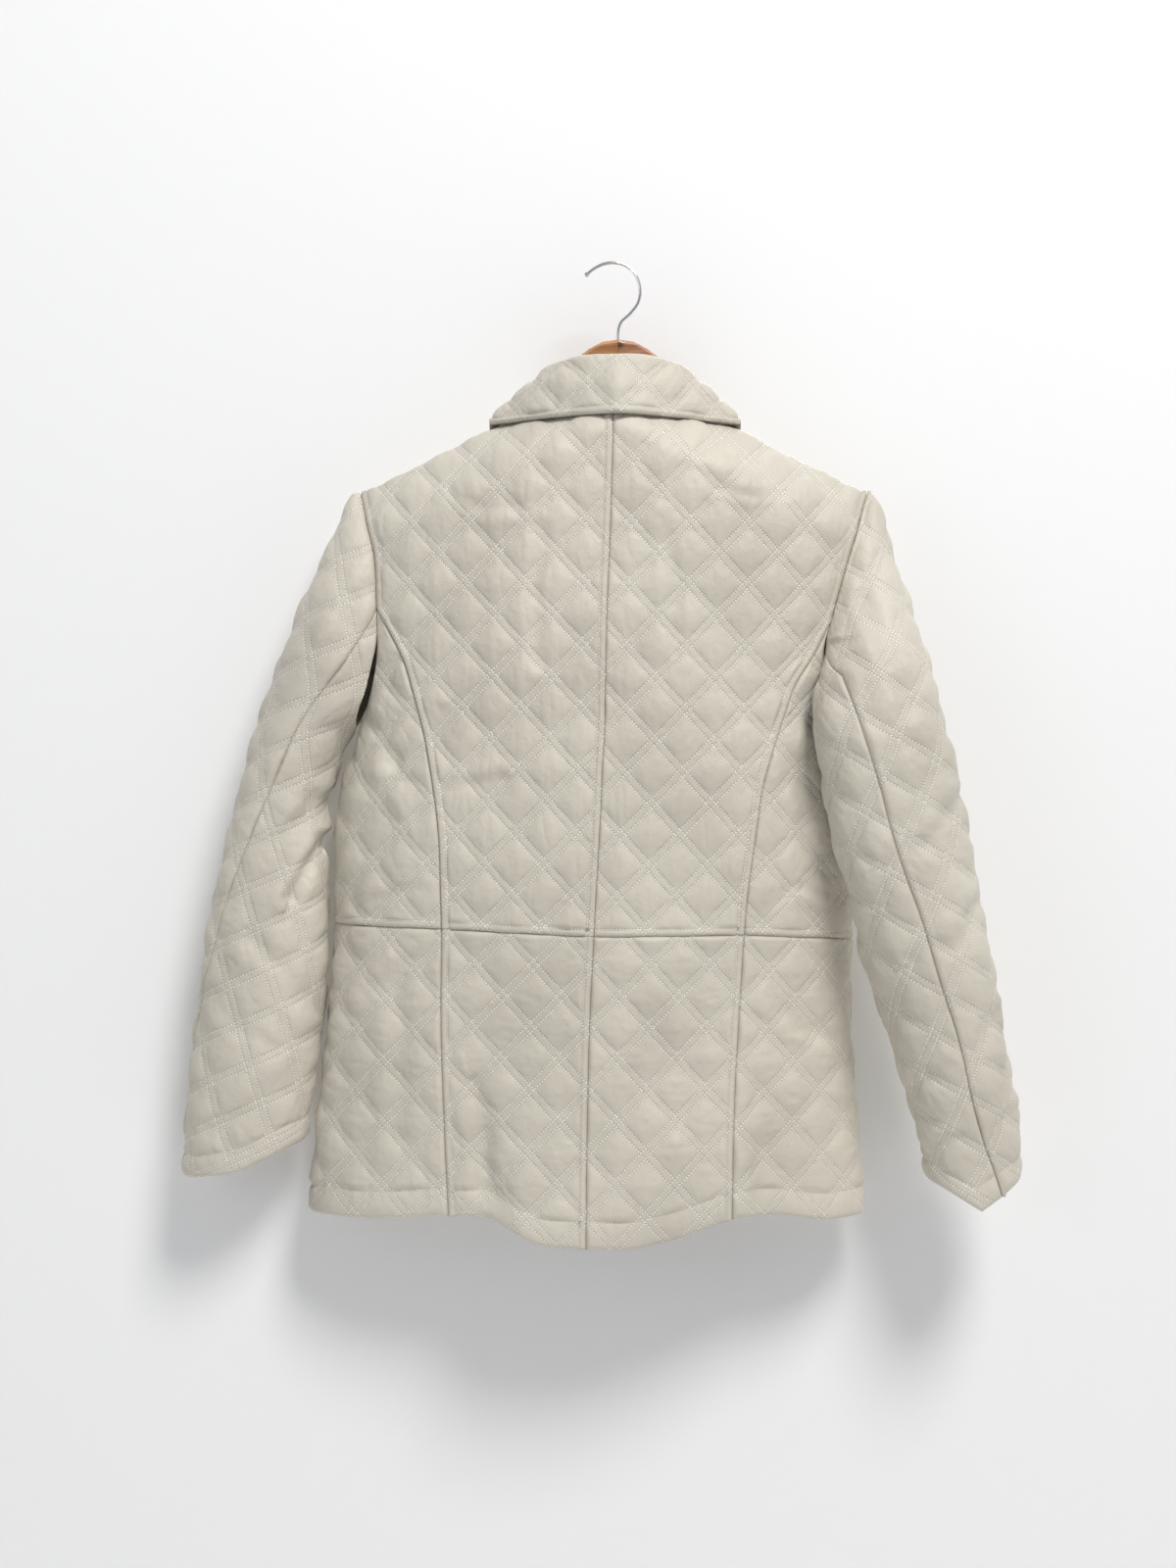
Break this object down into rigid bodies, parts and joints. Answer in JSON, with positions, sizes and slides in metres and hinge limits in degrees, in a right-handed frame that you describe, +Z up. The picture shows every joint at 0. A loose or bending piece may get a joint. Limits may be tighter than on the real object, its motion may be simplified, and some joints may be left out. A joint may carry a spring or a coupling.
{
  "type": "quilted jacket on a hanger",
  "caption": "Hip-length diamond-quilted jacket with a turned-down collar, waist seam and side panels, hanging on a wooden hanger with a wire hook.",
  "frame": {"origin": "inside of the hook's crown, where the hook hangs", "axes": "+Z up, -Y out of the jacket's back, +X to the wearer's right"},
  "size_m": [0.7331, 0.1576, 0.8559],
  "materials": {
    "quilted_cloth": "fine satin-faced weave, quilted in diamonds",
    "button": "plain, softly polished",
    "hanger_wood": "clear varnish over warm brown wood",
    "hook_steel": "polished wire"
  },
  "bodies": {
    "root": {"back_upper_left": "quilted_cloth", "back_upper_right": "quilted_cloth", "side_back_upper_left": "quilted_cloth", "side_back_upper_right": "quilted_cloth", "back_lower_left": "quilted_cloth", "back_lower_right": "quilted_cloth", "side_back_lower_left": "quilted_cloth", "side_back_lower_right": "quilted_cloth", "front_left": "quilted_cloth", "front_right": "quilted_cloth", "sleeve_left_upper": "quilted_cloth", "sleeve_left_under": "quilted_cloth", "sleeve_right_upper": "quilted_cloth", "sleeve_right_under": "quilted_cloth", "collar": "quilted_cloth", "button_1": "button", "button_2": "button", "button_3": "button", "button_4": "button", "hanger_arm_left": "hanger_wood", "hanger_arm_right": "hanger_wood", "hanger_hook": "hook_steel"}
  },
  "joints": []
}
